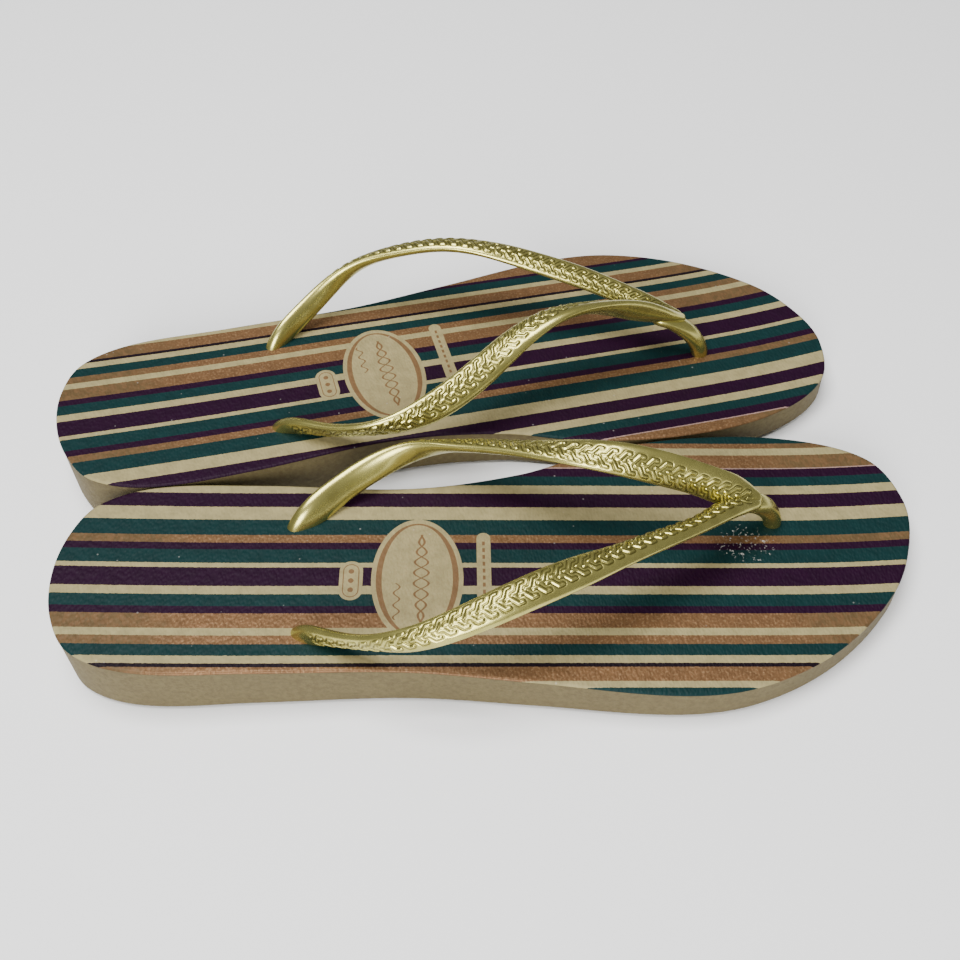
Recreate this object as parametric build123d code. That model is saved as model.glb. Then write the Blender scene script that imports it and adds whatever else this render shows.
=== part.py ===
from build123d import *
from build123d.topology import SkipClean
import os

# A pair of thong sandals lying side by side. Each shoe is a rubber sole, a printed film on its top
# face, and a one-piece moulded strap whose three stems pass through the sole and end in flat plugs.
# Shoe frame: X from heel to toe, Y towards the inner (big toe) side, Z up, heel tip at the origin.

# Sole outline, seen from above: the points that set its shape, in order round the shoe from the heel
# tip along the outer side.
OUTLINE = [
    (0, 0), (2.6, -15.5), (10.5, -27.6), (28.5, -33.9), (62, -34), (108, -33.7), (144, -37.1),
    (187, -41.5), (211, -38.8), (236, -27), (257, -7), (266, 12), (267.6, 29), (259.5, 46.5),
    (236, 56.1), (203, 57), (171, 50.8), (144, 40.6), (108, 34.4), (60, 35.6), (27, 34.3), (9.5, 27),
    (2.4, 15),
]
# Height of the footbed above the ground along the sole, as (x, height).
TOP_LINE = [(-2, 23.5), (43, 20.4), (97, 17.9), (151, 15.4), (205, 12.8), (250, 11.8), (270, 12.8)]
TOP_EDGE_RADIUS = 0.8
BOTTOM_EDGE_RADIUS = 2.0
REACH = 80                 # half width of the blocks that are cut to the outline

FILM_THICKNESS = 0.3
FILM_INSET = 1.0           # bare rubber between the film and the edge of the footbed

# Tread grooves run across the underside under the ball of the foot and under the heel.
GROOVE_DEPTH = 1.2
GROOVE_WIDTH = 2.4
GROOVE_PITCH = 8.0
GROOVE_INSET = 9.0
GROOVE_ROWS = ((22, 6), (148, 13))        # first groove's x, number of grooves

# Strap stems, their holes and the plugs that hold them under the sole.
INNER_PLUG = (70.5, 18.5)
OUTER_PLUG = (75.0, -20.0)
TOE_PLUG = (224.0, 21.0)
STEM_RADIUS = 3.0
HOLE_RADIUS = 3.3
PLUG_RADIUS = 8.0
PLUG_THICKNESS = 2.6
PLUG_GAP = 0.6             # how far the plug's underside lies above the ground
RECESS_RADIUS = 8.6
STEM_TOP = 9.0

# Strap stations: centre, width, thickness, and the direction that the embossed face looks in.
INNER_ARM = [
    ((70.5, 18.5, 9), 5.6, 5.6, (-0.3, 0.9, 0)),
    ((71.2, 18.4, 15.5), 5.8, 5.2, (-0.4, 0.8, -0.2)),
    ((75.4, 20.6, 19.8), 8.8, 5, (-0.4, 0.8, -0.4)),
    ((86.6, 29.2, 24), 9.6, 4, (-0.3, 0.8, -0.5)),
    ((97, 35.2, 27), 9.2, 3.8, (-0.15, 0.85, -0.5)),
    ((108, 38.8, 29.8), 9, 4, (-0.05, 0.97, -0.05)),
    ((123, 38, 33.5), 10, 4, (-0.1, 0.78, 0.62)),
    ((140, 32.3, 38.6), 10.2, 4, (-0.15, 0.62, 0.76)),
    ((155, 26, 43.8), 9.8, 4, (-0.25, 0.2, 0.94)),
    ((170, 21.4, 45.8), 10.2, 4, (-0.1, -0.4, 0.9)),
    ((186, 19.2, 42.4), 10.8, 4, (0.12, -0.8, 0.6)),
    ((201, 18.4, 35.8), 11.2, 4.2, (0.1, -0.92, 0.35)),
    ((211, 17.9, 30.4), 9.4, 4.4, (0.15, -0.75, 0.65)),
    ((218, 17.6, 27), 4, 3.4, (0.2, -0.6, 0.75)),
]
OUTER_ARM = [
    ((75, -20, 9), 5.6, 5.6, (-0.5, -0.85, 0)),
    ((75.5, -20.2, 15.5), 5.8, 5, (-0.5, -0.85, 0)),
    ((79.6, -22.2, 20), 8, 4.8, (-0.4, -0.87, -0.1)),
    ((88.4, -26.6, 24.6), 8.4, 4, (-0.26, -0.9, -0.3)),
    ((99.5, -31.5, 30), 7.8, 3.8, (0, -0.97, -0.1)),
    ((111, -34.2, 35.5), 7.8, 4, (-0.15, -0.85, 0.5)),
    ((127, -31.7, 40.8), 9.2, 4, (-0.17, -0.55, 0.82)),
    ((144, -25.6, 44.2), 10, 4, (0.09, -0.4, 0.91)),
    ((159, -18.3, 43.6), 9.8, 4, (0.2, -0.1, 0.97)),
    ((172, -11, 41), 8.8, 4, (0.1, 0.23, 0.97)),
    ((185, -3.3, 37.8), 8.4, 4, (0, 0.39, 0.92)),
    ((198, 5.2, 33.8), 8, 4, (0, 0.49, 0.87)),
    ((209, 13.4, 30.2), 8, 4.4, (0.05, 0.3, 0.9)),
    ((217.5, 17.2, 27.2), 4, 3.4, (0.15, 0, 0.95)),
]
TOE_POST = [
    ((206, 16.2, 29), 5, 3.6, (0.3, -0.2, 0.93)),
    ((211.5, 17.4, 27.6), 7, 4.6, (0.35, -0.2, 0.9)),
    ((217, 19, 24.4), 7.2, 6, (0.6, -0.1, 0.8)),
    ((221.8, 20.4, 18.6), 6.4, 6, (0.9, 0, 0.4)),
    ((224, 21, 12.5), 5.8, 5.8, (1, 0, 0)),
    ((224, 21, 9), 5.6, 5.6, (1, 0, 0)),
]

# Where the left shoe lies, from the right one: heel tip, and turn about Z in degrees.
LEFT_HEEL = (-11.1, 61.1)
LEFT_TURN = 14.9


def outline_face(inset=0.0):
    """The sole's outline as a face, drawn in by inset.

    Each stretch between two points of OUTLINE is a Bezier curve. At a point, both its curves run
    parallel to the line between the point's two neighbours, with handles a third of the stretch long.
    """
    points = [Vector(x, y) for x, y in OUTLINE]
    following = points[1:] + points[:1]
    slopes = [(after - before).normalized() for before, after in zip(points[-1:] + points[:-1], following)]
    points = [point + slope.rotate(Axis.Z, 90) * inset for point, slope in zip(points, slopes)]
    stretches = []
    for start, end, leaving, arriving in zip(
        points, points[1:] + points[:1], slopes, slopes[1:] + slopes[:1]
    ):
        handle = (end - start).length / 3
        stretches.append(Bezier(start, start + leaving * handle, end - arriving * handle, end))
    return Face(Wire(stretches))


def below_footbed(drop=0.0):
    """A block that reaches from below the ground up to the footbed's surface, less drop."""
    top = Spline(*[(x, z - drop) for x, z in TOP_LINE])
    low = -5
    first, last = top @ 0, top @ 1
    back = Line((first.X, low), first)
    base = Line((last.X, low), (first.X, low))
    front = Line(last, (last.X, low))
    profile = Face(Wire([top, front, base, back]))
    return extrude(Plane.XZ * profile, REACH, both=True, clean=False)


def column(face, height):
    """A face on the ground, raised straight up by height."""
    return extrude(face, height, dir=(0, 0, 1), clean=False)


def plug_places():
    """The three places where a stem goes through the sole."""
    return [INNER_PLUG, OUTER_PLUG, TOE_PLUG]


def recess_depth():
    """How deep each plug's recess goes into the underside."""
    return PLUG_GAP + PLUG_THICKNESS


def tread_grooves():
    """Straight grooves across the underside, kept inside a band round the sole's edge."""
    bars = Sketch()
    for first, count in GROOVE_ROWS:
        for row in range(count):
            bars += Pos(first + row * GROOVE_PITCH, 0) * Rectangle(GROOVE_WIDTH, 2 * REACH)
    for x, y in plug_places():
        bars -= Pos(x, y) * Circle(RECESS_RADIUS + GROOVE_WIDTH)
    return column(bars & outline_face(GROOVE_INSET), GROOVE_DEPTH)


def stem_holes(radius):
    """Three round holes through the sole."""
    return Part() + [Pos(x, y, -1) * extrude(Circle(radius), REACH) for x, y in plug_places()]


def make_sole():
    """The rubber sole: tapered in side view, with holes, plug recesses and tread grooves."""
    body = column(outline_face(), REACH) & below_footbed(FILM_THICKNESS)
    ground = body.edges().group_by(Axis.Z)[0]
    body = fillet(ground, BOTTOM_EDGE_RADIUS)
    rim = body.faces().sort_by(Axis.Z)[-1].edges()
    body = fillet(rim, TOP_EDGE_RADIUS)
    for x, y in plug_places():
        body -= Pos(x, y) * extrude(Circle(RECESS_RADIUS), recess_depth())
    body -= stem_holes(HOLE_RADIUS)
    return (body - tread_grooves()).solid()


def make_film():
    """The printed film: an even layer on the footbed, with a round hole for each stem."""
    layer = column(outline_face(FILM_INSET), REACH) & below_footbed()
    layer -= below_footbed(FILM_THICKNESS)
    return (layer - stem_holes(HOLE_RADIUS)).solid()


def strap_limb(stations):
    """A loft through oval sections, one at each station, square to the line through their centres."""
    centres = [Vector(*station[0]) for station in stations]
    sections = []
    for index, (_, width, thickness, face) in enumerate(stations):
        before = centres[max(index - 1, 0)]
        after = centres[min(index + 1, len(centres) - 1)]
        along = (after - before).normalized()
        if centres[index].Z <= STEM_TOP:
            along = Vector(0, 0, 1) if after.Z > before.Z else Vector(0, 0, -1)
        across = Vector(*face).cross(along).normalized()
        plane = Plane(origin=centres[index], x_dir=across, z_dir=along)
        sections.append(plane * Ellipse(width / 2, thickness / 2))
    return loft(sections)


def make_plug(x, y):
    """A stem with the flat round plug at its foot, up to where the strap's limb begins."""
    stem = Pos(x, y, PLUG_GAP) * extrude(Circle(STEM_RADIUS), STEM_TOP - PLUG_GAP + 1.0)
    disc = Pos(x, y, PLUG_GAP) * extrude(Circle(PLUG_RADIUS), PLUG_THICKNESS)
    return stem + disc


def make_strap(sole, film):
    """The strap: two arms that meet in a V, the toe post, and three plugs, trimmed to the sole."""
    strap = strap_limb(INNER_ARM) + strap_limb(OUTER_ARM) + strap_limb(TOE_POST)
    for x, y in plug_places():
        strap += make_plug(x, y)
    strap = strap - sole - film
    return max(strap.solids(), key=lambda solid: solid.volume)


def make_shoe():
    """One right shoe, in its own frame. Its smooth side faces stay apart, one to each stretch."""
    with SkipClean():
        sole = make_sole()
        film = make_film()
        strap = make_strap(sole, film)
    return {"sole": sole, "footbed_print": film, "strap": strap}


def left_place():
    """Where the left shoe lies in the right shoe's frame."""
    return Pos(*LEFT_HEEL, 0) * Rot(0, 0, LEFT_TURN)


def make_pair():
    """Both shoes, the left one mirrored, with the origin under the middle of the pair."""
    right = make_shoe()
    left = {name: left_place() * mirror(piece, about=Plane.XZ) for name, piece in right.items()}
    pieces = {f"right_{name}": piece for name, piece in right.items()}
    pieces.update({f"left_{name}": piece for name, piece in left.items()})
    middle = Compound(list(pieces.values())).bounding_box().center()
    shift = Pos(-middle.X, -middle.Y, 0)
    return {name: shift * piece for name, piece in pieces.items()}


os.makedirs("parts", exist_ok=True)
for node, piece in make_pair().items():
    export_step(piece, f"parts/{node}.step")
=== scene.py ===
"""A pair of striped flip flops: foamed rubber soles, printed footbeds and embossed gold straps."""

import math

import bmesh
import bpy
import numpy as np
from bpy.props import FloatProperty, FloatVectorProperty, PointerProperty
from mathutils import Matrix, Vector


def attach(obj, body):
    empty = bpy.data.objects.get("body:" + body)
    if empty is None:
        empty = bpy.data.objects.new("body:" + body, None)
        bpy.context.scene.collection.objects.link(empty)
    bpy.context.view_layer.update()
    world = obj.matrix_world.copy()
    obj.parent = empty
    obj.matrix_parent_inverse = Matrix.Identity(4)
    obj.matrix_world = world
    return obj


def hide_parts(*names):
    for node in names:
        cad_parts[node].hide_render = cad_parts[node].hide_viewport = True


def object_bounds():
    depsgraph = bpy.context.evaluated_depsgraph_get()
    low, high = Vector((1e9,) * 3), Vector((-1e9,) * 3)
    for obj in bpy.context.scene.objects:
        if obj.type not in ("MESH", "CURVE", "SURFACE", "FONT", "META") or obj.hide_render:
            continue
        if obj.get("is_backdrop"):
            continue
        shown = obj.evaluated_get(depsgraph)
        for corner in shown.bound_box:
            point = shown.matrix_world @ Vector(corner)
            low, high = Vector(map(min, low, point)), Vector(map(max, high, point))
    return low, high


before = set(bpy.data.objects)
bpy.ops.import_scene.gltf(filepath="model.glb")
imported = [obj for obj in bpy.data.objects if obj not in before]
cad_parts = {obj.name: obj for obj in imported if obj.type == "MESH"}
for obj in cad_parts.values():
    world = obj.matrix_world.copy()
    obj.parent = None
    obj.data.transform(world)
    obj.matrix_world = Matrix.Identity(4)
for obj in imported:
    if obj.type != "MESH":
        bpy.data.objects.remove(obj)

bl_info = {
    "name": "Striped flip flops",
    "version": (1, 0, 0),
    "blender": (4, 5, 0),
    "location": "View3D > Sidebar > Flip flops",
    "description": "Builds the looks of a pair of flip flops around their CAD frame",
    "category": "Object",
}

MM = 0.001

# ---------------------------------------------------------------- places, in mm, in a shoe's own frame
# Along runs from the heel tip to the toe, across runs towards the big toe's side, up is up.

OUTLINE = [
    (0, 0), (2.6, -15.5), (10.5, -27.6), (28.5, -33.9), (62, -34), (108, -33.7), (144, -37.1), (187, -41.5),
    (211, -38.8), (236, -27), (257, -7), (266, 12), (267.6, 29), (259.5, 46.5), (236, 56.1), (203, 57),
    (171, 50.8), (144, 40.6), (108, 34.4), (60, 35.6), (27, 34.3), (9.5, 27), (2.4, 15),
]
# Height of the footbed above the ground along the shoe.
TOP_LINE = [(-2, 23.5), (43, 20.4), (97, 17.9), (151, 15.4), (205, 12.8), (250, 11.8), (270, 12.8)]
RIM_RADIUS = 0.8
SOLE_BELOW_TOP = 0.3
# The film's lower face lies out of sight, this deep in the rubber and this far in from the rim.
FILM_SINK = 0.6
FILM_SINK_INSET = 0.75

INNER_PLUG = (70.5, 18.5)
OUTER_PLUG = (75, -20)
TOE_PLUG = (224, 21)
PLUG_RADIUS = 8.0
PLUG_THICKNESS = 2.6
PLUG_GAP = 0.6
STEM_RADIUS = 3.0
STEM_TOP = 9.0

# Each station of a strap limb: centre, width, thickness, and the way its broad face looks.
INNER_ARM = [
    ((70.5, 18.5, 9), 5.6, 5.6, (-0.3, 0.9, 0)),
    ((71.2, 18.4, 15.5), 5.8, 5.2, (-0.4, 0.8, -0.2)),
    ((75.4, 20.6, 19.8), 8.8, 5, (-0.4, 0.8, -0.4)),
    ((86.6, 29.2, 24), 9.6, 4, (-0.3, 0.8, -0.5)),
    ((97, 35.2, 27), 9.2, 3.8, (-0.15, 0.85, -0.5)),
    ((108, 38.8, 29.8), 9, 4, (-0.05, 0.97, -0.05)),
    ((123, 38, 33.5), 10, 4, (-0.1, 0.78, 0.62)),
    ((140, 32.3, 38.6), 10.2, 4, (-0.15, 0.62, 0.76)),
    ((155, 26, 43.8), 9.8, 4, (-0.25, 0.2, 0.94)),
    ((170, 21.4, 45.8), 10.2, 4, (-0.1, -0.4, 0.9)),
    ((186, 19.2, 42.4), 10.8, 4, (0.12, -0.8, 0.6)),
    ((201, 18.4, 35.8), 11.2, 4.2, (0.1, -0.92, 0.35)),
    ((211, 17.9, 30.4), 9.4, 4.4, (0.15, -0.75, 0.65)),
    ((218, 17.6, 27), 4, 3.4, (0.2, -0.6, 0.75)),
]
OUTER_ARM = [
    ((75, -20, 9), 5.6, 5.6, (-0.5, -0.85, 0)),
    ((75.5, -20.2, 15.5), 5.8, 5, (-0.5, -0.85, 0)),
    ((79.6, -22.2, 20), 8, 4.8, (-0.4, -0.87, -0.1)),
    ((88.4, -26.6, 24.6), 8.4, 4, (-0.26, -0.9, -0.3)),
    ((99.5, -31.5, 30), 7.8, 3.8, (0, -0.97, -0.1)),
    ((111, -34.2, 35.5), 7.8, 4, (-0.15, -0.85, 0.5)),
    ((127, -31.7, 40.8), 9.2, 4, (-0.17, -0.55, 0.82)),
    ((144, -25.6, 44.2), 10, 4, (0.09, -0.4, 0.91)),
    ((159, -18.3, 43.6), 9.8, 4, (0.2, -0.1, 0.97)),
    ((172, -11, 41), 8.8, 4, (0.1, 0.23, 0.97)),
    ((185, -3.3, 37.8), 8.4, 4, (0, 0.39, 0.92)),
    ((198, 5.2, 33.8), 8, 4, (0, 0.49, 0.87)),
    ((209, 13.4, 30.2), 8, 4.4, (0.05, 0.3, 0.9)),
    ((217.5, 17.2, 27.2), 4, 3.4, (0.15, 0, 0.95)),
]
TOE_POST = [
    ((206, 16.2, 29), 5, 3.6, (0.3, -0.2, 0.93)),
    ((211.5, 17.4, 27.6), 7, 4.6, (0.35, -0.2, 0.9)),
    ((217, 19, 24.4), 7.2, 6, (0.6, -0.1, 0.8)),
    ((221.8, 20.4, 18.6), 6.4, 6, (0.9, 0, 0.4)),
    ((224, 21, 12.5), 5.8, 5.8, (1, 0, 0)),
    ((224, 21, 9), 5.6, 5.6, (1, 0, 0)),
]

# Stripes of the print, from the little toe's side: where each starts across the shoe, and its ink.
STRIPES = [
    (-52, "copper"), (-44.5, "purple"), (-43, "teal"), (-39.2, "cream"), (-37, "copper"), (-32.5, "plum"),
    (-31.2, "cream"), (-28.7, "teal"), (-24.9, "copper"), (-21.9, "cream"), (-19.3, "copper"),
    (-14.1, "blush"), (-13.9, "purple"), (-11.3, "teal"), (-6.9, "cream"), (-4.3, "purple"), (2.8, "cream"),
    (4.6, "teal"), (9.5, "purple"), (12.2, "blush"), (12.4, "copper"), (15.1, "teal"), (21.1, "cream"),
    (26.6, "purple"), (32.0, "cream"), (35.6, "teal"), (39.5, "purple"), (42.9, "blush"), (43.1, "copper"),
    (48.9, "cream"), (51.8, "copper"), (54.1, "teal"),
]
PRINT_START, PRINT_END = -52.0, 58.0
DRIFT_FROM = 144
# Half sizes of the marks, along and across the shoe, in mm.
OVAL = (14.15, 22.5)
CRESCENT_OUTSIDE = (12.7, 20.9)
CRESCENT_INSIDE = (10.9, 20.3)
PILL = (3.6, 7.2)
BAR = (2.2, 14.5)

# How each shoe lies: its heel tip in the row frame, in mm, its turn in degrees, and its hand.
LAYS = {
    "right": {"heel": (-127.634, -55.663), "turn": 0.0, "hand": 1},
    "left": {"heel": (-138.734, 5.437), "turn": 14.9, "hand": -1},
}
# Where each shoe's print landed: how far its stripes run off, and the centres of its marks.
PRINTS = {
    "right": {
        "off": 0.0, "drift": 0.0, "wear": 1.0, "oval": (111, -1), "pill": (90.7, -1.9), "bar": (131.5, 1.8),
    },
    "left": {
        "off": 7.9, "drift": 0.034, "wear": 0.25, "oval": (112, 3), "pill": (91.6, 3.4), "bar": (134.8, -2.6),
    },
}


# ---------------------------------------------------------------- sizes and colours

def length(name, default, description):
    return FloatProperty(name=name, description=description, default=default, unit="LENGTH", precision=5)


def ink(name, default, description):
    return FloatVectorProperty(
        name=name, description=description, default=default, subtype="COLOR", size=3, min=0.0, max=1.0
    )


class FlipFlopSizes(bpy.types.PropertyGroup):
    """Sizes of the details that are made on top of the CAD shape."""

    film_lift: length("Film lift", 0.00022, "How far the printed film stands over the rubber")
    grain_size: length("Grain size", 0.0012, "Width of one grain of the footbed's emboss")
    hook_pitch: length("Hook pitch", 0.0040, "Distance from one embossed hook to the next along the strap")
    hook_stroke: length("Hook stroke", 0.00090, "Width of the raised stroke of a hook")
    hook_height: length("Hook height", 0.00028, "Height of the raised stroke")
    hook_groove: length("Hook groove", 0.00014, "Depth of the groove beside a stroke")


class FlipFlopColours(bpy.types.PropertyGroup):
    """Inks of the print, and the colours of the rubber, the strap and the floor."""

    teal: ink("Teal", (0.003, 0.0205, 0.0205), "Teal stripes")
    purple: ink("Purple", (0.0125, 0.0008, 0.0115), "Purple stripes")
    plum: ink("Plum", (0.006, 0.002, 0.005), "The darkest thin stripe")
    copper: ink("Copper", (0.145, 0.076, 0.034), "Metallic copper stripes")
    copper_light: ink("Light copper", (0.235, 0.142, 0.07), "Bright grains in the copper")
    copper_brown: ink("Olive brown", (0.098, 0.062, 0.027), "Copper near the heel and the toe")
    blush: ink("Blush", (0.28, 0.18, 0.15), "Hairline where copper meets purple")
    cream: ink("Cream", (0.275, 0.232, 0.112), "Cream stripes and marks")
    marking: ink("Marking", (0.12, 0.055, 0.022), "Fine lines of the oval and the pills")
    rubber: ink("Rubber", (0.125, 0.097, 0.034), "Foamed rubber of the sole")
    rubber_dark: ink("Dark rubber", (0.082, 0.058, 0.020), "Mottle and specks of the rubber")
    gold: ink("Gold", (0.52, 0.475, 0.145), "Olive gold of the strap")
    # Painted shade: this dark gold fills the strap's grooves, and it also gives the gold a random darker
    # mottle.
    gold_mottle_and_groove_shade: ink("Deep gold", (0.085, 0.068, 0.008), "Gold in the grooves of the strap")
    floor: ink("Floor", (0.96, 0.96, 0.96), "The floor under the shoes")


# ---------------------------------------------------------------- finishes

class Number:
    """A number that varies over a surface; arithmetic on it lays down Math nodes."""

    def __init__(self, finish, socket):
        self.finish = finish
        self.socket = socket

    def math(self, operation, *values):
        made = self.finish.node("ShaderNodeMath", {"operation": operation}, dict(enumerate(values)))
        return Number(self.finish, made.outputs[0])

    def __add__(self, other):
        return self.math("ADD", self, other)

    __radd__ = __add__

    def __sub__(self, other):
        return self.math("SUBTRACT", self, other)

    def __rsub__(self, other):
        return self.math("SUBTRACT", other, self)

    def __mul__(self, other):
        return self.math("MULTIPLY", self, other)

    __rmul__ = __mul__

    def __truediv__(self, other):
        return self.math("DIVIDE", self, other)

    def __rtruediv__(self, other):
        return self.math("DIVIDE", other, self)

    def __abs__(self):
        return self.math("ABSOLUTE", self)

    def __lt__(self, other):
        return self.math("LESS_THAN", self, other)

    def __gt__(self, other):
        return self.math("GREATER_THAN", self, other)

    def root(self):
        return self.math("SQRT", self)

    def sine(self):
        return self.math("SINE", self)

    def most(self, other):
        return self.math("MAXIMUM", self, other)

    def repeat(self, period):
        """Folds the number into one period centred on nought."""
        return self.math("WRAP", self, period / 2, -period / 2)

    def fade(self, start, end):
        """Rises smoothly from 0 at start to 1 at end."""
        made = self.finish.node(
            "ShaderNodeMapRange",
            {"interpolation_type": "SMOOTHSTEP"},
            {"Value": self, "From Min": start, "From Max": end},
        )
        return Number(self.finish, made.outputs[0])


class Finish:
    """A material being made, and the one way a node is added to it."""

    def __init__(self, name):
        self.material = bpy.data.materials.new(name)
        self.material.use_nodes = True
        self.tree = self.material.node_tree
        self.shader = self.tree.nodes["Principled BSDF"]

    def node(self, kind, settings=None, sockets=None):
        made = self.tree.nodes.new(kind)
        for name, value in (settings or {}).items():
            setattr(made, name, value)
        for name, value in (sockets or {}).items():
            self.put(made.inputs[name], value)
        return made

    def put(self, socket, value):
        if isinstance(value, Number):
            value = value.socket
        if isinstance(value, bpy.types.NodeSocket):
            self.tree.links.new(value, socket)
        elif socket.type == "RGBA":
            socket.default_value = (*value[:3], 1.0)
        else:
            socket.default_value = value

    def shade(self, **sockets):
        """Sets the shader's sockets; an underscore in a name stands for a space."""
        for name, value in sockets.items():
            self.put(self.shader.inputs[name.replace("_", " ")], value)

    def mix(self, factor, a, b, blend="MIX"):
        made = self.node(
            "ShaderNodeMix", {"data_type": "RGBA", "blend_type": blend}, {0: factor, 6: a, 7: b}
        )
        return made.outputs[2]

    def noise(self, vector, size, detail=3.0, roughness=0.55):
        made = self.node(
            "ShaderNodeTexNoise", None,
            {"Vector": vector, "Scale": 1 / size, "Detail": detail, "Roughness": roughness},
        )
        return Number(self, made.outputs[0])

    def cells(self, vector, size, feature="F1"):
        """Cells of about that size: the distance from each one's middle, and its own random colour."""
        made = self.node("ShaderNodeTexVoronoi", {"feature": feature}, {"Vector": vector, "Scale": 1 / size})
        return Number(self, made.outputs[0]), made.outputs[1]

    def stretch(self, vector, factors):
        made = self.node("ShaderNodeVectorMath", {"operation": "MULTIPLY"}, {0: vector, 1: factors})
        return made.outputs[0]

    def parts(self, vector):
        split = self.node("ShaderNodeSeparateXYZ", None, {0: vector})
        return [Number(self, out) for out in split.outputs]

    def bump(self, height, distance, strength=1.0):
        sockets = {"Height": height, "Distance": distance, "Strength": strength}
        made = self.node("ShaderNodeBump", None, sockets)
        return made.outputs[0]

    def places(self):
        return self.node("ShaderNodeTexCoord").outputs["Object"]


def rubber_finish(colours):
    """Foamed rubber: soft mottle, tiny dark specks and a dry, finely pitted skin."""
    f = Finish("foamed rubber")
    at = f.places()
    mottle = f.noise(at, 0.0015, detail=4)
    grain = f.noise(at, 0.0006, detail=2)
    speck, _ = f.cells(at, 0.0021)
    specks = 1 - speck.fade(0.10, 0.20)
    clouds = f.noise(at, 0.018, detail=2)
    colour = f.mix((mottle * 0.9 + grain * 0.5).fade(0.5, 0.95) * 0.75, colours.rubber, colours.rubber_dark)
    colour = f.mix(clouds.fade(0.35, 0.75) * 0.25, colour, colours.rubber_dark)
    colour = f.mix(specks * 0.4, colour, colours.rubber_dark)
    pits = grain * 0.6 + mottle * 0.6
    f.shade(
        Base_Color=colour, Roughness=mottle * 0.18 + 0.66, Normal=f.bump(pits, 0.00025, 0.6),
    )
    return f.material


def film_finish(name, place, colours, sizes):
    """The printed film: ragged-edged stripes, copper that dulls to brown at both ends, an oval and two pills.

    The film's own map holds where a point is in the shoe, in metres."""
    f = Finish(name)
    at = f.node("ShaderNodeUVMap", {"uv_map": "Footbed"}).outputs[0]
    metres_along, metres_across, _ = f.parts(at)
    along = metres_along * 1000
    across = metres_across * 1000

    rag = f.noise(at, 0.0009, detail=2) - 0.5
    printed = across - place["off"] - (along - DRIFT_FROM) * place["drift"] + rag * 0.42
    ramp = f.node("ShaderNodeValToRGB")
    ramp.color_ramp.interpolation = "CONSTANT"
    span = PRINT_END - PRINT_START
    stops = ramp.color_ramp.elements
    for index, (start, stripe) in enumerate(STRIPES):
        stop = stops[index] if index < 2 else stops.new((start - PRINT_START) / span)
        stop.position = (start - PRINT_START) / span
        stop.color = (*getattr(colours, stripe), 1.0 if stripe == "copper" else 0.0)
    f.put(ramp.inputs[0], (printed - PRINT_START) / span)
    stripes = ramp.outputs["Color"]
    metal = Number(f, ramp.outputs["Alpha"])

    # Copper ink: bright fine grains, then an olive brown mosaic towards the heel and the toe.
    grain = f.noise(at, 0.0008, detail=2)
    ends = (1 - along.fade(10, 62)).most(along.fade(205, 250))
    blotch = f.noise(at, 0.0075, detail=2)
    _, chip_colour = f.cells(f.stretch(at, (1, 0.8, 1)), 0.0011)
    chip_shade, _, _ = f.parts(chip_colour)
    worn = (ends + (blotch - 0.5) * 0.7).fade(0.25, 0.8)
    copper = f.mix(grain.fade(0.50, 0.68) * 0.75, colours.copper, colours.copper_light)
    brown = f.mix(chip_shade.fade(0.2, 0.8) * 0.5, colours.copper_brown, colours.copper)
    copper = f.mix(worn, copper, brown)
    colour = f.mix(metal, stripes, copper)

    # The oval: cream, with two thin crescents and a braided wave down its middle.
    cream = f.mix(grain.fade(0.35, 0.75) * 0.25, colours.cream, colours.copper_light)
    du = along - place["oval"][0]
    dv = across - place["oval"][1]

    def inside(half_size):
        half_along, half_across = half_size
        return ((du / half_along) * (du / half_along) + (dv / half_across) * (dv / half_across)) < 1

    crescents = inside(CRESCENT_OUTSIDE) * (1 - inside(CRESCENT_INSIDE))
    swell = 1 - (dv / 17.5) * (dv / 17.5)
    wave = (dv * (2 * math.pi / 8.0)).sine() * swell * 2.3
    braid = (abs(du - 1.2 - wave) < 0.36).most(abs(du - 1.2 + wave) < 0.36) * (abs(dv) < 16.5)
    ripple = (dv * (2 * math.pi / 4.4)).sine() * 0.9
    braid = braid.most((abs(du + 6.2 - ripple) < 0.28) * (abs(dv + 8.5) < 6.6))
    marks = crescents.most(braid)
    patch = inside(OVAL)

    # Each pill: a cream rounded bar along the shoe's width, with its own fine marks.
    def pill(centre, half_size):
        radius, half_across = half_size
        pu = along - centre[0]
        pv = across - centre[1]
        qv = (abs(pv) - (half_across - radius)).most(0)
        return pu, pv, (pu * pu + qv * qv).root() - radius

    pu, pv, edge = pill(place["pill"], PILL)
    patch = patch.most(edge < 0)
    dot = pv.repeat(3.4)
    dots = ((pu * pu + dot * dot) < 0.75) * (abs(pv) < 4.6)
    marks = marks.most(abs(edge + 1.25) < 0.15).most(dots)
    pu, pv, edge = pill(place["bar"], BAR)
    patch = patch.most(edge < 0)
    dash = pv.repeat(2.6)
    marks = marks.most((abs(dash) < 0.75) * (abs(pu) < 0.42) * (abs(pv) < 11.8))

    colour = f.mix(patch, colour, cream)
    colour = f.mix(marks * 0.85, colour, colours.marking)
    metal = metal * (1 - patch) * (1 - worn * 0.6)

    # Wear: pale flecks by the toe post, and dust all over.
    fleck = f.noise(at, 0.0013, detail=4, roughness=0.7)
    from_u = (along - 214) / 13
    from_v = (across - 12) / 10
    near_post = (1 - (from_u * from_u + from_v * from_v).fade(0.2, 1.0)) * place["wear"]
    mote, _ = f.cells(at, 0.0065)
    dust = (1 - mote.fade(0.03, 0.06)) * 0.25
    scuff = ((fleck + near_post * 0.13).fade(0.70, 0.78) * near_post.fade(0.0, 0.4)).most(dust)
    colour = f.mix(scuff * 0.8, colour, (0.62, 0.60, 0.55))
    shade = f.noise(at, 0.004, detail=3)
    cloud = f.mix(shade.fade(0.3, 0.7), (0.72, 0.72, 0.72), (1.25, 1.25, 1.25))
    colour = f.mix(0.35, colour, cloud, "MULTIPLY")

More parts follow.
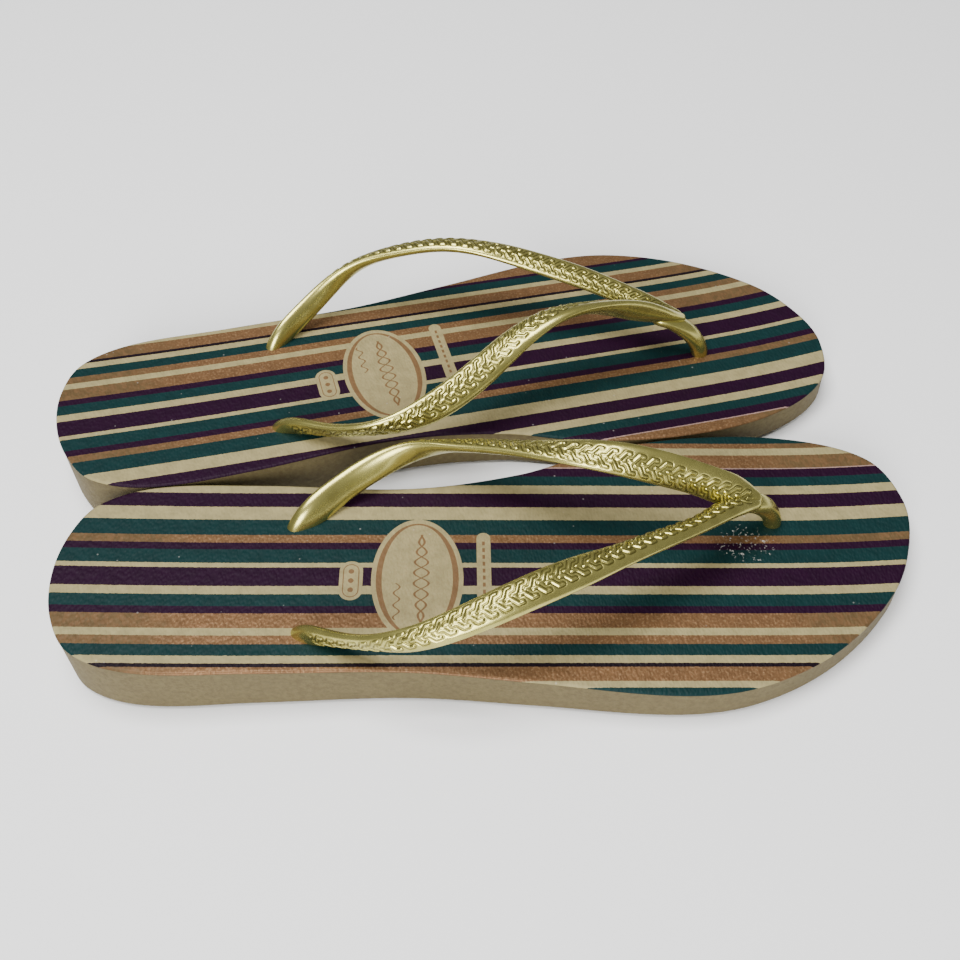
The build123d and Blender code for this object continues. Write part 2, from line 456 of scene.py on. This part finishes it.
    rice, _ = f.cells(f.stretch(at, (1.6, 0.9, 1)), sizes.grain_size, "SMOOTH_F1")
    height = 1 - rice.fade(0.1, 0.75)
    f.shade(
        Base_Color=colour, Metallic=metal * 0.3,
        Roughness=0.52 - metal * 0.12 + scuff * 0.2 + (grain - 0.5) * 0.15,
        Normal=f.bump(height, 0.00015, 0.6),
    )
    f.shader.inputs["Specular IOR Level"].default_value = 0.12
    return f.material


def gold_finish(colours):
    """Vinyl with gold pigment: a satin metal gloss over a faint grain, with painted shade darkening its
    grooves.
    """
    f = Finish("gold vinyl")
    at = f.places()
    flow = f.noise(at, 0.006, detail=3)
    grain = f.noise(at, 0.0005, detail=2)
    hollow = Number(f, f.node("ShaderNodeAttribute", {"attribute_name": "hollow"}).outputs["Fac"])
    colour = f.mix(flow.fade(0.35, 0.7) * 0.25, colours.gold, colours.gold_mottle_and_groove_shade)
    # Painted shade: the strap's grooves are pulled towards the dark gold.
    colour = f.mix(hollow * 0.85, colour, colours.gold_mottle_and_groove_shade)
    f.shade(
        Base_Color=colour, Metallic=0.9, Roughness=flow * 0.10 + grain * 0.04 + 0.20,
        Normal=f.bump(grain, 0.000006, 0.2),
    )
    return f.material


def floor_finish(colours):
    """Plain paper with a barely seen tooth."""
    f = Finish("studio floor")
    tooth = f.noise(f.places(), 0.002)
    f.shade(Base_Color=f.mix(tooth * 0.05, colours.floor, (0.7, 0.7, 0.7)), Roughness=0.9)
    return f.material


# ---------------------------------------------------------------- shapes

def to_row(side, points):
    """Shoe frame in mm to row frame in metres: a mirror for the left hand, a turn, a move to the heel."""
    lay = LAYS[side]
    turn = math.radians(lay["turn"])
    u, v, z = points[..., 0], points[..., 1] * lay["hand"], points[..., 2]
    x = lay["heel"][0] + u * math.cos(turn) - v * math.sin(turn)
    y = lay["heel"][1] + u * math.sin(turn) + v * math.cos(turn)
    return np.stack([x, y, z], axis=-1) * MM


def to_shoe(side, points):
    """Row frame in metres back to the shoe's along and across, in metres."""
    lay = LAYS[side]
    turn = math.radians(lay["turn"])
    x = points[:, 0] - lay["heel"][0] * MM
    y = points[:, 1] - lay["heel"][1] * MM
    u = x * math.cos(turn) + y * math.sin(turn)
    v = (y * math.cos(turn) - x * math.sin(turn)) * lay["hand"]
    return np.stack([u, v], axis=-1)


def spline(knots, values, at):
    """The natural cubic spline through values at knots, read at other places.

    Its second slopes solve one linear system."""
    values = np.asarray(values, float).reshape(len(knots), -1)
    gap = np.diff(knots)
    slope = np.diff(values, axis=0) / gap[:, None]
    size = len(knots)
    system = np.eye(size)
    system[1:-1, 1:-1] = np.diag(2 * (gap[:-1] + gap[1:])) + np.diag(gap[1:-1], 1) + np.diag(gap[1:-1], -1)
    system[1, 0], system[-2, -1] = gap[0], gap[-1]
    pull = np.zeros_like(values)
    pull[1:-1] = 3 * np.diff(slope, axis=0)
    bend = np.linalg.solve(system, pull)
    tilt = slope - gap[:, None] * (2 * bend[:-1] + bend[1:]) / 3
    cube = np.diff(bend, axis=0) / (3 * gap[:, None])
    piece = np.clip(np.searchsorted(knots, at, side="right") - 1, 0, size - 2)
    step = (at - knots[piece])[:, None]
    return values[piece] + step * (tilt[piece] + step * (bend[piece] + step * cube[piece]))


def rim_of(points):
    """The closed outline, one cubic Bezier from each point to the next.

    A handle is a third of the stretch long and runs parallel to the line between the point's neighbours."""
    points = np.asarray(points, float)
    way = np.roll(points, -1, axis=0) - np.roll(points, 1, axis=0)
    way /= np.linalg.norm(way, axis=1)[:, None]
    nexts, next_way = np.roll(points, -1, axis=0), np.roll(way, -1, axis=0)
    third = np.linalg.norm(nexts - points, axis=1)[:, None] / 3
    t = np.linspace(0, 1, 60, endpoint=False)[None, :, None]
    a, b, c, d = (p[:, None, :] for p in (points, points + way * third, nexts - next_way * third, nexts))
    curve = a * (1 - t) ** 3 + 3 * b * t * (1 - t) ** 2 + 3 * c * t**2 * (1 - t) + d * t**3
    return curve.reshape(-1, 2)


def two_rims(step, end=12.0):
    """Both rims at the same places along, from the rearmost point to the foremost, and their inward normals.

    The steps are even, but within end of each tip they shrink as a square, so that the ends stay round."""
    rim = rim_of(OUTLINE)
    rim = np.roll(rim, -int(np.argmin(rim[:, 0])), axis=0)
    tip = int(np.argmax(rim[:, 0]))
    heel, toe = rim[0, 0], rim[tip, 0]
    count = int(2 * end / step)
    near = end * (np.arange(count) / count) ** 2
    along = np.concatenate([heel + near, np.arange(heel + end, toe - end, step), toe - near[::-1]])
    sides = []
    for half, turn in ((rim[: tip + 1], 1), (np.vstack([rim[:1], rim[tip:][::-1]]), -1)):
        half[:, 0] = np.maximum.accumulate(half[:, 0])
        line = np.stack([along, np.interp(along, half[:, 0], half[:, 1])], axis=-1)
        way = np.gradient(line, axis=0)
        way /= np.linalg.norm(way, axis=1)[:, None]
        normal = turn * np.stack([-way[:, 1], way[:, 0]], axis=-1)
        line[0], line[-1] = rim[0], rim[tip]
        normal[0], normal[-1] = (1, 0), (-1, 0)
        sides.append((line, normal))
    return sides


def top_height(along):
    """Height of the footbed above the ground at each place along."""
    knots, heights = np.asarray(TOP_LINE, float).T
    return spline(knots, heights, along.ravel())[:, 0].reshape(along.shape)


def film_shell(sizes):
    """The film, as one ring at each place along.

    Above, a straight sheet runs from rim to rim and ends in part of a quarter round over the sole's edge.
    Below, a narrower sheet closes it, out of sight in the rubber."""
    sheet_columns, lower_columns, edge_columns = 60, 6, 7
    lift = sizes.film_lift / MM
    rims = two_rims(1.0)
    turn = np.radians(np.linspace(66, 0, edge_columns))
    inset = RIM_RADIUS - (RIM_RADIUS + lift) * np.sin(turn)
    drop = (RIM_RADIUS + lift) * (1 - np.cos(turn))
    rows = [line[:, None, :] + normal[:, None, :] * inset[None, :, None] for line, normal in rims]
    across = np.linspace(0, 1, sheet_columns + 2)[1:-1][None, :, None]
    sheet = rows[0][:, -1:, :] * (1 - across) + rows[1][:, -1:, :] * across
    low = [line[:, None, :] + normal[:, None, :] * FILM_SINK_INSET for line, normal in rims]
    below = np.linspace(0, 1, lower_columns + 2)[1:-1][None, :, None]
    under = low[1] * (1 - below) + low[0] * below
    flat = np.concatenate([rows[0], sheet, rows[1][:, ::-1], low[1], under, low[0]], axis=1)
    sunk = np.full(lower_columns + 2, FILM_SINK + lift)
    fall = np.concatenate([drop, np.zeros(sheet_columns), drop[::-1], sunk])
    height = top_height(flat[..., 0]) - SOLE_BELOW_TOP + lift - fall[None, :]
    return np.concatenate([flat, height[..., None]], axis=-1)


def hooks(along, across, half_width, sizes):
    """Relief of two mirrored rows of hooks: a foot near the middle line, a leaning leg and an outer foot.

    It depends on the distance to that bent line: first a raised stroke, then a groove on both sides."""
    pitch = sizes.hook_pitch / MM
    stroke = sizes.hook_stroke / MM / 2
    lean = np.where(across < 0, 0.5 * pitch, 0.0)
    a = np.mod(along + lean, pitch)
    q = np.abs(across)
    low, high = 0.10 * half_width, 0.54 * half_width
    bend = [(-0.30, low), (0.02, low * 0.9), (0.42, high), (0.72, high)]
    bend = [(x * pitch, y) for x, y in bend]
    nearest = np.full(along.shape, np.inf)
    for shift in (-pitch, 0, pitch):
        for (x0, y0), (x1, y1) in zip(bend, bend[1:]):
            dx, dy = x1 - x0, y1 - y0
            t = np.clip(((a - shift - x0) * dx + (q - y0) * dy) / (dx * dx + dy * dy), 0, 1)
            nearest = np.minimum(nearest, np.hypot(a - shift - x0 - t * dx, q - y0 - t * dy))
    raised = 1 - ease_between(nearest, stroke * 0.55, stroke * 1.1)
    groove = ease_between(nearest, stroke * 0.9, stroke * 1.3)
    groove = groove * (1 - ease_between(nearest, stroke * 1.6, stroke * 2.3))
    return raised, groove


def ease_between(value, start, end):
    """0 before start, 1 after end, smooth between."""
    t = np.clip((value - start) / (end - start), 0, 1)
    return t * t * (3 - 2 * t)


def limb(stations, step, blunt, sizes=None, pattern=None):
    """One limb of the strap: a lens-like section carried along a spline and turned by the face direction.

    The section's top is y = (1 - |x|^3)^0.6 and its back is y = -(1 - |x|^2.6)^0.6. Each end shrinks to a
    pole as a quarter circle of its own length in blunt. The pattern says how far from the start and from
    the end the hooks run, and how far off the middle they lie, as a part of the half width."""
    centres = np.array([s[0] for s in stations], float)
    knots = np.concatenate([[0], np.cumsum(np.linalg.norm(np.diff(centres, axis=0), axis=1))])
    total = knots[-1]
    ends = [cap * (1 - np.cos(np.linspace(0, np.pi / 2, 9)[:-1])) for cap in blunt]
    if pattern:
        hooks_from, hooks_short, off_middle = pattern
        plain_run = np.arange(blunt[0], hooks_from - 1, 1.0)
        middle = np.concatenate([plain_run, np.arange(hooks_from - 1, total - blunt[1], step)])
    else:
        middle = np.arange(blunt[0], total - blunt[1], step)
    s = np.concatenate([ends[0], middle, total - ends[1][::-1]])
    centre = spline(knots, centres, s)
    width = spline(knots, [t[1] for t in stations], s)[:, 0]
    thick = spline(knots, [t[2] for t in stations], s)[:, 0]
    face = spline(knots, [t[3] for t in stations], s)
    shrink = np.sqrt(np.clip(1 - np.clip(1 - s / blunt[0], 0, 1) ** 2, 0, 1))
    shrink *= np.sqrt(np.clip(1 - np.clip(1 - (total - s) / blunt[1], 0, 1) ** 2, 0, 1))
    way = np.gradient(centre, s, axis=0)
    way /= np.linalg.norm(way, axis=1)[:, None]
    face -= way * np.sum(face * way, axis=1)[:, None]
    face /= np.linalg.norm(face, axis=1)[:, None]
    side = np.cross(way, face)

    top_x = np.sin(np.pi / 2 * np.linspace(-1, 1, 55 if pattern else 21))
    back_x = np.sin(np.pi / 2 * np.linspace(1, -1, 17 if pattern else 15))[1:-1]
    x = np.concatenate([top_x, back_x])
    y = np.concatenate([(1 - np.abs(top_x) ** 3) ** 0.6, -((1 - np.abs(back_x) ** 2.6) ** 0.6)])
    half_width = (width * shrink / 2)[:, None]
    out = half_width * x[None, :]
    up = (thick * shrink / 2)[:, None] * y[None, :]
    # Painted shade for the grooves, none where there are no hooks.
    hollow = np.zeros_like(up)
    if pattern:
        on_top = 1 - ease_between(np.abs(top_x), 0.80, 0.90)
        on_face = np.concatenate([on_top, np.zeros(len(back_x))])[None, :]
        run = ease_between(s, hooks_from, hooks_from + 4)
        run = run * (1 - ease_between(s, total - hooks_short - 1.5, total - hooks_short))
        along, across = s[:, None] + np.zeros_like(out), out - off_middle * half_width
        raised, groove = hooks(along, across, half_width + 1e-6, sizes)
        amount = on_face * run[:, None]
        up = up + amount * (raised * sizes.hook_height - groove * sizes.hook_groove) / MM
        # The groove mask is kept as painted shade for the strap's grooves.
        hollow = amount * groove
    grid = centre[:, None, :] + side[:, None, :] * out[..., None] + face[:, None, :] * up[..., None]
    return grid, hollow


def turned(profile, centre, count=48):
    """A profile of (radius, height) points turned about an upright axis."""
    profile = np.asarray(profile, float)
    angle = np.linspace(0, 2 * np.pi, count, endpoint=False)[None, :]
    radius, height = profile[:, 0][:, None], profile[:, 1][:, None]
    x = centre[0] + radius * np.cos(angle)
    y = centre[1] + radius * np.sin(angle)
    return np.stack([x, y, height + np.zeros_like(x)], axis=-1)


def plug_profile():
    """A round button with a rolled edge and a shallow dish below, then the stem that climbs into the sole."""
    low, high = PLUG_GAP, PLUG_GAP + PLUG_THICKNESS
    roll = 0.9
    arc = np.linspace(-np.pi / 2, 0, 6)
    edge = [(PLUG_RADIUS - roll + roll * math.cos(t), low + roll + roll * math.sin(t)) for t in arc]
    top = [(PLUG_RADIUS - 0.4, high - 0.3), (PLUG_RADIUS - 1.0, high), (STEM_RADIUS + 0.5, high)]
    dish = [(0, low + 0.5), (2.2, low + 0.45), (4.4, low + 0.4), (5.2, low + 0.1), (5.8, low)]
    return dish + edge + top + [(STEM_RADIUS, high + 0.5), (STEM_RADIUS, STEM_TOP + 1), (0, STEM_TOP + 1)]


def strap_shells(sizes):
    """The strap: two embossed arms, the smooth toe post, and a plug under each hole."""
    shells = [
        limb(INNER_ARM, 0.27, (1.5, 2.4), sizes, (14, 4.0, 0.16)),
        limb(OUTER_ARM, 0.27, (1.5, 2.4), sizes, (14, 4.5, -0.16)),
        limb(TOE_POST, 0.8, (3.0, 1.0)),
    ]
    for centre in (INNER_PLUG, OUTER_PLUG, TOE_PLUG):
        grid = turned(plug_profile(), centre)
        shells.append((grid, np.zeros(grid.shape[:2])))
    return shells


def make_piece(name, side, shells, material):
    """One mesh from closed tubes: each is a grid whose rows are rings and whose two ends close to a point."""
    points = []
    faces = []
    hollow = []
    start = 0
    # Each shell is a grid of points and its mask of painted groove shade.
    for grid, low in shells:
        rows, ring = grid.shape[:2]
        corner = start + np.arange(rows * ring).reshape(rows, ring)
        onward = np.roll(corner, -1, axis=1)
        faces.append(np.stack([corner[:-1], onward[:-1], onward[1:], corner[1:]], axis=-1).reshape(-1, 4))
        points.append(to_row(side, grid).reshape(-1, 3))
        hollow.append(low.ravel())
        start += rows * ring
    mesh = bpy.data.meshes.new(name)
    mesh.from_pydata(np.concatenate(points), [], np.concatenate(faces).tolist())
    # The painted groove shade goes to a point attribute that the gold finish reads.
    mesh.attributes.new("hollow", "FLOAT", "POINT").data.foreach_set("value", np.concatenate(hollow))
    work = bmesh.new()
    work.from_mesh(mesh)
    bmesh.ops.remove_doubles(work, verts=work.verts, dist=2e-6)
    bmesh.ops.recalc_face_normals(work, faces=work.faces)
    work.to_mesh(mesh)
    work.free()
    mesh.polygons.foreach_set("use_smooth", np.ones(len(mesh.polygons), bool))
    mesh.materials.append(material)
    mesh.update()
    piece = bpy.data.objects.new(name, mesh)
    bpy.context.scene.collection.objects.link(piece)
    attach(piece, f"{side}_flip_flop")
    return piece


def map_footbed(piece, side):
    """Gives the film a map that holds each point's place in the shoe."""
    mesh = piece.data
    places = np.empty(len(mesh.vertices) * 3, np.float32)
    mesh.vertices.foreach_get("co", places)
    corners = np.empty(len(mesh.loops), np.int32)
    mesh.loops.foreach_get("vertex_index", corners)
    layer = mesh.uv_layers.new(name="Footbed")
    layer.data.foreach_set("uv", to_shoe(side, places.reshape(-1, 3))[corners].ravel())


# ---------------------------------------------------------------- operators

class MakeSoles(bpy.types.Operator):
    """Finishes both rubber soles, whose shape comes from the frame"""

    bl_idname = "flipflop.make_soles"
    bl_label = "Make soles"

    def execute(self, context):
        material = rubber_finish(context.scene.flipflop_colours)
        for side in LAYS:
            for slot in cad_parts[f"{side}_sole"].material_slots:
                slot.material = material
        return {"FINISHED"}


class MakeFootbeds(bpy.types.Operator):
    """Makes both printed films, with stripes, an oval and two pills"""

    bl_idname = "flipflop.make_footbeds"
    bl_label = "Make footbeds"

    def execute(self, context):
        scene = context.scene
        grid = film_shell(scene.flipflop_sizes)
        shells = [(grid, np.zeros(grid.shape[:2]))]
        for side, place in PRINTS.items():
            material = film_finish(f"{side} print", place, scene.flipflop_colours, scene.flipflop_sizes)
            film = make_piece(f"{side}_footbed", side, shells, material)
            map_footbed(film, side)
            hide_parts(f"{side}_footbed_print")
        return {"FINISHED"}


class MakeStraps(bpy.types.Operator):
    """Makes both straps: two embossed arms, a toe post and three plugs each"""

    bl_idname = "flipflop.make_straps"
    bl_label = "Make straps"

    def execute(self, context):
        scene = context.scene
        material = gold_finish(scene.flipflop_colours)
        shells = strap_shells(scene.flipflop_sizes)
        for side in LAYS:
            strap = make_piece(f"{side}_strap_moulding", side, shells, material)
            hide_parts(f"{side}_strap")
        return {"FINISHED"}


class MakeStage(bpy.types.Operator):
    """Lays the floor, hangs the lights and stands the camera"""

    bl_idname = "flipflop.make_stage"
    bl_label = "Make stage"

    def execute(self, context):
        scene = context.scene
        low = Vector(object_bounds()[0])
        bpy.ops.mesh.primitive_plane_add(size=8.0, location=(0, 0, 0))
        floor = context.active_object
        floor.name = "floor"
        floor.data.transform(Matrix.Translation((0, 0, low.z - 0.0002)))
        floor.data.materials.append(floor_finish(scene.flipflop_colours))
        floor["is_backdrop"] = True

        world = bpy.data.worlds.new("studio")
        world.use_nodes = True
        world.node_tree.nodes["Background"].inputs[0].default_value = (1.0, 1.0, 1.0, 1.0)
        world.node_tree.nodes["Background"].inputs[1].default_value = 0.22
        scene.world = world
        soft_light("overhead", (-0.25, 0.0, 1.25), 0.7, 24.0)
        soft_light("front", (-0.25, -1.3, 0.7), 0.7, 26.0)
        scene.camera = studio_camera()
        return {"FINISHED"}


def soft_light(name, place, size, power):
    """A square soft box that looks at the shoes."""
    lamp = bpy.data.lights.new(name, "AREA")
    lamp.size = size
    lamp.energy = power
    stand = bpy.data.objects.new(name, lamp)
    bpy.context.scene.collection.objects.link(stand)
    stand.location = place
    stand.rotation_euler = (-Vector(place)).to_track_quat("-Z", "Y").to_euler()


def studio_camera():
    """The camera stands off its target along its line of sight, and rolls a little."""
    target = Vector((0.00303, -0.00444, 0.0))
    distance, turn, fall, roll = 0.4176, 0.011726, math.radians(50.759), math.radians(-2.025)
    right = Vector((math.cos(turn), math.sin(turn), 0))
    up = Vector((-math.sin(turn) * math.sin(fall), math.cos(turn) * math.sin(fall), math.cos(fall)))
    back = right.cross(up)
    rolled_right = right * math.cos(roll) + up * math.sin(roll)
    rolled_up = up * math.cos(roll) - right * math.sin(roll)
    lens = bpy.data.cameras.new("studio camera")
    lens.lens = 45.40
    lens.sensor_width = 36.0
    lens.clip_start = 0.01
    camera = bpy.data.objects.new("studio camera", lens)
    bpy.context.scene.collection.objects.link(camera)
    stance = Matrix((rolled_right, rolled_up, back)).transposed().to_4x4()
    camera.matrix_world = Matrix.Translation(target + back * distance) @ stance
    return camera


class FlipFlopPanel(bpy.types.Panel):
    """The steps and settings, in the 3D view's sidebar"""

    bl_idname = "FLIPFLOP_PT_steps"
    bl_label = "Flip flops"
    bl_space_type = "VIEW_3D"
    bl_region_type = "UI"
    bl_category = "Flip flops"

    def draw(self, context):
        for step in STEPS:
            self.layout.operator(step.bl_idname)
        for settings in (context.scene.flipflop_sizes, context.scene.flipflop_colours):
            for name in settings.__annotations__:
                self.layout.prop(settings, name)


STEPS = (MakeSoles, MakeFootbeds, MakeStraps, MakeStage)
CLASSES = (FlipFlopSizes, FlipFlopColours) + STEPS + (FlipFlopPanel,)


def register():
    for each in CLASSES:
        bpy.utils.register_class(each)
    bpy.types.Scene.flipflop_sizes = PointerProperty(type=FlipFlopSizes)
    bpy.types.Scene.flipflop_colours = PointerProperty(type=FlipFlopColours)


def unregister():
    del bpy.types.Scene.flipflop_sizes
    del bpy.types.Scene.flipflop_colours
    for each in reversed(CLASSES):
        bpy.utils.unregister_class(each)


def main():
    register()
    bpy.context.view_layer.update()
    bpy.ops.flipflop.make_soles()
    bpy.ops.flipflop.make_footbeds()
    bpy.ops.flipflop.make_straps()
    bpy.ops.flipflop.make_stage()


if __name__ == "__main__":
    main()
